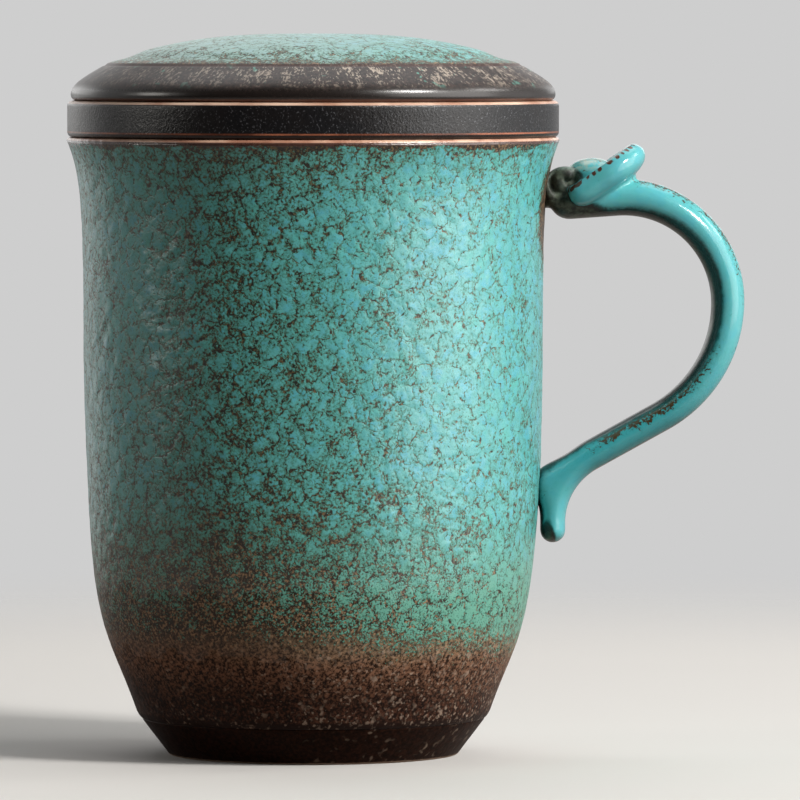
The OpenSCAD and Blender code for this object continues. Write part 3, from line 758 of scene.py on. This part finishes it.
def ball(place, radii, tilted):
    """An ellipsoid: the three radii times the cosines and sines of two angles, upright or in the lobe's tilt."""
    t = np.radians(np.linspace(-90, 90, 40)[1:-1])[:, None]
    b = np.linspace(0, 2 * math.pi, 80, endpoint=False)
    u, w, v = radii[0] * np.cos(t) * np.cos(b), radii[1] * np.cos(t) * np.sin(b), radii[2] * np.sin(t) + 0 * b
    if tilted:
        return swept(lobe_place(u + place[0], w, v + place[1]))
    return swept(np.stack([place[0] + u, w, place[1] + v], -1))


def scroll():
    """A short roll across the handle whose ends carry a spiral groove: it sinks where the distance from an eye near
    the top matches the spiral's radius at that angle."""
    r = np.concatenate([np.linspace(0.02, 0.86, 60), 1 - 0.14 * (1 - np.sin(np.linspace(0, math.pi / 2, 10)[1:]))])
    b = np.linspace(0, 2 * math.pi, 160, endpoint=False)
    radius, angle = np.meshgrid(r * scroll_r, b, indexing="ij")
    x, z = radius * np.cos(angle), radius * np.sin(angle)
    from_eye, turn = np.hypot(x - eye_x, z - eye_z), np.arctan2(z - eye_z, x - eye_x) / (2 * math.pi)
    share = (from_eye / spiral_pitch - turn) % 1.0
    groove = 1.5 * np.exp(-((share - 0.5) / 0.16) ** 2) * np.clip((0.96 - radius / scroll_r) / 0.14, 0, 1)
    edge = np.clip((radius / scroll_r - 0.8) / 0.2, 0, 1)
    y = scroll_half - groove - 1.4 * (1 - np.sqrt(np.clip(1 - edge ** 2, 0, 1)))
    near, far = (np.stack([scroll_x + x, side * y, scroll_z + z], -1) for side in (-1, 1))
    return swept(np.concatenate([near, far[::-1]]))


def fused(shells, grain, rounds):
    """One skin over closed shells: their union on a fine grid, with each point then drawn towards its neighbours'
    middle a number of times, which eases the creases between the shells."""
    starts = np.cumsum([0] + [len(p) for p, _ in shells])
    mesh = bpy.data.meshes.new("clay")
    mesh.from_pydata((np.vstack([p for p, _ in shells]) * MM).tolist(), [],
                     [[i + n for i in f] for (_, faces), n in zip(shells, starts) for f in faces])
    clay = bpy.data.objects.new("clay", mesh)
    bpy.context.scene.collection.objects.link(clay)
    grid = clay.modifiers.new("grid", "REMESH")
    grid.mode, grid.voxel_size = "VOXEL", grain * MM
    ease = clay.modifiers.new("ease", "SMOOTH")
    ease.factor, ease.iterations = 0.5, rounds
    skin = clay.evaluated_get(bpy.context.evaluated_depsgraph_get()).to_mesh()
    points, corners = np.empty(len(skin.vertices) * 3), np.empty(len(skin.loops), np.int32)
    skin.vertices.foreach_get("co", points)
    skin.loops.foreach_get("vertex_index", corners)
    bpy.data.objects.remove(clay)
    bpy.data.meshes.remove(mesh)
    return points.reshape(-1, 3) / MM, corners.reshape(-1, 4).tolist()


def rise(v, low, high):
    """0 below low and 1 above high, with a smooth rise between."""
    t = np.clip((v - low) / (high - low), 0, 1)
    return t * t * (3 - 2 * t)


def handle_marks(points):
    """The marks that the handle's glaze reads at each point. They depend on how far round the tube it lies, or how
    near the lobe's rim, and blend from tube to lobe, boss and scroll by which is nearest."""
    px, py, pz = points.T
    x, z, heading, along, out, width, inward = handle_route()
    near = np.argmin((px[:, None] - x) ** 2 + (pz[:, None] - z) ** 2, 1)
    u = -(px - x[near]) * np.sin(heading[near]) + (pz - z[near]) * np.cos(heading[near])
    un, wn = u / np.where(u < 0, inward[near], out[near]), py / width[near]
    far = np.hypot(un, wn)
    cos_a, s = un / np.maximum(far, 1e-6), along[near]
    c, n = math.cos(lobe_tilt), math.sin(lobe_tilt)
    lu, lv = (px - lobe_x) * c + (pz - lobe_z) * n, -(px - lobe_x) * n + (pz - lobe_z) * c
    reach_out = np.hypot(lu, py)
    cos_l, sin_l = lu / np.maximum(reach_out, 1e-6), py / np.maximum(reach_out, 1e-6)
    power = lobe_power(cos_l)
    reach_out = reach_out * (np.abs(cos_l) ** power + np.abs(sin_l) ** power) ** (1 / power)
    past_side = reach_out - lobe_r * np.interp(lv, lobe_side[:, 1], lobe_side[:, 0])
    curl = np.hypot(px - scroll_x, pz - scroll_z)
    gaps = np.stack([
        (far - 1) * out[near], np.maximum(np.maximum(lv - lobe_half, -lv - lobe_under), past_side),
        (np.sqrt(((px - boss_x) / boss_r) ** 2 + (py / boss_r) ** 2 + ((pz - boss_z) / boss_h) ** 2) - 1) * boss_h,
        np.maximum(curl - scroll_r, np.abs(py) - scroll_half)])
    share = np.exp(-(gaps - gaps.min(0)) / mark_blend)
    share /= share.sum(0)
    # The dark on the tube's inner side, along the outer side of the lower arm and at the tail's end is partly dark
    # glaze and partly painted shade.
    low = np.interp(s, [0, 0.035, 0.07, 0.12, 0.2, 0.3, 0.5, 0.62, 0.75, 0.86, 0.92, 0.97, 1.0],
                    [1.4, 1.1, 0.1, -0.68, -0.62, -0.44, -0.42, -0.64, -0.8, -0.85, -0.85, -0.85, -0.85])
    high = np.interp(s, [0, 0.5, 0.6, 0.66, 0.84, 0.9, 1.0], [2.0, 2.0, 1.3, 1.03, 1.03, 1.4, 1.4])
    tube_spray_and_shade = np.minimum(cos_a - low, high - cos_a)
    # Deeper teal along the lower arm: painted shade.
    lower_arm_shade = share[0] * np.interp(s, [0.54, 0.68, 0.86, 0.94], [0, 1, 1, 0.3])
    tip = np.hypot(px - x[-1], pz - z[-1] + 1.2)
    tube_spray_and_shade = np.minimum(tube_spray_and_shade, (tip - 2.6) / 4 + rise(px - x[-1], -0.8, 1.4))
    # The lobe darkens towards its lower end by the scroll: painted shade.
    lobe_shade = 0.5 - 0.7 * rise(-lu, 6.9, 8.0) - 0.5 * rise(-lv, 1.5, lobe_under) * rise(-lu, 3.0, 6.0)
    # The scroll is darkened by its own olive glaze and by painted shade.
    spray_and_shade = share[0] * tube_spray_and_shade + share[1] * lobe_shade + share[2] * 0.3 - share[3] * 0.42
    top = np.interp(s, [0, 0.06, 0.12, 0.36, 0.5], [0, 0, 1, 1, 0.3]) * rise(cos_a, 0.4, 1.0)
    under = np.interp(s, [0.4, 0.52, 0.6, 0.8, 0.88], [0, 0.6, 1, 1, 0.2]) * rise(-cos_a, -0.65, 0.6)
    fleck = share[0] * (0.92 * top + 1.1 * under) + share[2] * 0.6 - 0.56
    turn = np.arctan2(py, lu)
    uneven = 1.6 * np.sin(3 * turn + 1) + 1.1 * np.sin(7 * turn)
    bead = 0.5 + 0.45 * np.sin(turn * 31 + uneven) + 0.2 * np.sin(11 * turn + 2) + 0.4 * rise(-lu, 3.5, 6.0)
    rim = share[1] * np.exp(-((lv - 1.8) / 0.45) ** 2) * rise(reach_out, 5.6, 6.4) * bead
    # Pale grey-green over the boss is painted reflection, and the band along the scroll's ridge is painted highlight.
    band = np.exp(-((curl - 3.6) / 0.5) ** 2) * rise(pz - scroll_z, 0.2, 1.6) + 0.4 * np.exp(-(curl / 1.6) ** 2)
    painted_highlight = 0.9 * share[2] * rise(pz - boss_z, 0.0, 1.2) + 0.32 * share[3] * band
    return {"spray_and_shade": spray_and_shade, "fleck": fleck, "rim": rim, "painted_highlight": painted_highlight, "dull": share[3], "lower_arm_shade": lower_arm_shade}


def make_handle():
    """Tube, lobe, boss, neck and scroll as one skin, with the marks for its glaze."""
    boss = ball((boss_x, boss_z), (boss_r, boss_r, boss_h), False)
    shells = [tube(), lobe(), boss, ball(neck_place, neck_size, True), scroll()]
    points, faces = fused(shells, skin_grain, skin_rounds)
    piece = surface("handle", points, faces, "mug", handle_glaze(),
                    ["handle_bow", "thumb_rest", "thumb_scroll"])
    for name, values in handle_marks(points).items():
        mark(piece, name, values)


make_mug()
make_foot()
make_collar()
liner = liner_glaze()
make_basket(liner)
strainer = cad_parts["strainer_floor"]
strainer.data.materials.clear()
strainer.data.materials.append(liner)
make_lid()
make_skirt(liner)
make_handle()


# Floor, light and camera

def floor_finish():
    """Pale paint that fades out into the backdrop, and gives the mug less and warmer light than the camera sees."""
    f = Finish("floor_paint")
    base = f.mix(f.noise(0.004, 3.0), colour(218, 216, 213), colour(224, 222, 219))
    far = f.step(f.radius, 220.0, 520.0)
    path = f.add("ShaderNodeLightPath").outputs
    seen = f.calc("MAXIMUM", path["Is Camera Ray"], f.times(path["Is Glossy Ray"], 0.4))
    base = f.mix(seen, colour(100, 78, 66), base)
    f.put(f.shader.inputs["Alpha"], f.calc("SUBTRACT", 1.0, far))
    return f.done(base, 0.85)


def make_floor():
    """A wide flat disc under the foot: a ring of points at one radius, joined to the middle."""
    radius, sides = 0.7, 96
    a = np.linspace(0, 2 * math.pi, sides, endpoint=False)
    mesh = bpy.data.meshes.new("floor")
    rim = np.column_stack([radius * np.cos(a), radius * np.sin(a), np.zeros(sides)])
    mesh.from_pydata(np.vstack([rim, [0, 0, 0]]).tolist(), [], [(k, (k + 1) % sides, sides) for k in range(sides)])
    mesh.materials.append(floor_finish())
    floor = bpy.data.objects.new("floor", mesh)
    bpy.context.scene.collection.objects.link(floor)


def lamp(name, azimuth, elevation, distance, size, power, tint):
    """A soft panel that faces the mug: azimuth is turned from the camera's side towards the handle."""
    a, e = math.radians(azimuth), math.radians(elevation)
    target = Vector((0.01, 0, 0.065))
    data = bpy.data.lights.new(name, "AREA")
    data.shape, data.size, data.size_y = "RECTANGLE", size[0], size[1]
    data.energy, data.color = power, colour(*tint)[:3]
    panel = bpy.data.objects.new(name, data)
    away = Vector((math.sin(a) * math.cos(e), -math.cos(a) * math.cos(e), math.sin(e)))
    panel.location = target + away * distance
    panel.rotation_mode = "QUATERNION"
    panel.rotation_quaternion = away.to_track_quat("Z", "Y")
    bpy.context.scene.collection.objects.link(panel)


def make_world():
    """Even dim light. The camera sees a pale backdrop all round, and the glaze mirrors a grey one behind the mug, a
    white screen on the handle's side and the dark end of the room on the camera's side."""
    world = bpy.data.worlds.new("studio")
    bpy.context.scene.world = world
    world.use_nodes = True
    tree = world.node_tree
    add, link = tree.nodes.new, tree.links.new
    dim = tree.nodes["Background"]
    dim.inputs["Color"].default_value = colour(238, 236, 230)
    dim.inputs["Strength"].default_value = 0.015
    way = add("ShaderNodeSeparateXYZ")
    link(add("ShaderNodeTexCoord").outputs["Generated"], way.inputs[0])
    shade = None
    for side, low, high, tint in (("Y", -0.5, 0.3, colour(172, 172, 172)), ("X", 0.7, 0.9, colour(250, 250, 250))):
        turn, tone = add("ShaderNodeMapRange"), add("ShaderNodeMix")
        link(way.outputs[side], turn.inputs["Value"])
        turn.inputs["From Min"].default_value, turn.inputs["From Max"].default_value = low, high
        tone.data_type = "RGBA"
        link(turn.outputs[0], tone.inputs["Factor"])
        # Inputs 6 and 7 and output 2 of the node are its colours
        tone.inputs[6].default_value, tone.inputs[7].default_value = colour(26, 26, 28), tint
        if shade:
            link(shade, tone.inputs[6])
        shade = tone.outputs[2]
    room, pale = add("ShaderNodeBackground"), add("ShaderNodeBackground")
    link(shade, room.inputs["Color"])
    pale.inputs["Color"].default_value = colour(206, 206, 206)
    path = add("ShaderNodeLightPath")
    mirrored, seen = add("ShaderNodeMixShader"), add("ShaderNodeMixShader")
    for mix, ray, first, second in ((mirrored, "Is Glossy Ray", dim, room), (seen, "Is Camera Ray", mirrored, pale)):
        link(path.outputs[ray], mix.inputs[0])
        link(first.outputs[0], mix.inputs[1])
        link(second.outputs[0], mix.inputs[2])
    link(seen.outputs[0], tree.nodes["World Output"].inputs["Surface"])


def make_camera():
    """A long lens in front of the mug, a little above the lid and tipped down."""
    data = bpy.data.cameras.new("camera")
    data.sensor_width, data.lens = 36.0, 395.8
    data.clip_start, data.clip_end = 0.01, 100.0
    camera = bpy.data.objects.new("camera", data)
    place, aim = Vector((0.0148, -1.5, 0.125)), Vector((0.0148, 0, 0.0604))
    camera.location = place
    camera.rotation_mode = "QUATERNION"
    camera.rotation_quaternion = (aim - place).to_track_quat("-Z", "Y")
    bpy.context.scene.collection.objects.link(camera)
    bpy.context.scene.camera = camera


make_floor()
make_world()
warm, plain = (255, 252, 248), (250, 250, 250)
# Name, azimuth, elevation, distance, size, power and tint of each lamp
for values in (
        ("panel", 66, 16, 1.5, (1.6, 1.34), 18.2, warm),
        ("key", 55, 40, 1.5, (0.3, 0.3), 18.5, warm),
        ("edge", 105, 36, 1.5, (0.36, 0.36), 3, warm),
        ("top", 180, 64, 1.5, (1.4, 1.0), 6, plain),
        ("side", -82, 14, 1.5, (0.36, 0.44), 3.0, (252, 248, 240)),
        ("window", -142, 6, 1.5, (1.0, 0.8), 1.3, (252, 250, 246)),
        ("back", -168, 14, 1.6, (2.4, 0.6), 4, plain)):
    lamp(*values)
make_camera()
bpy.context.scene.view_settings.view_transform = "Standard"
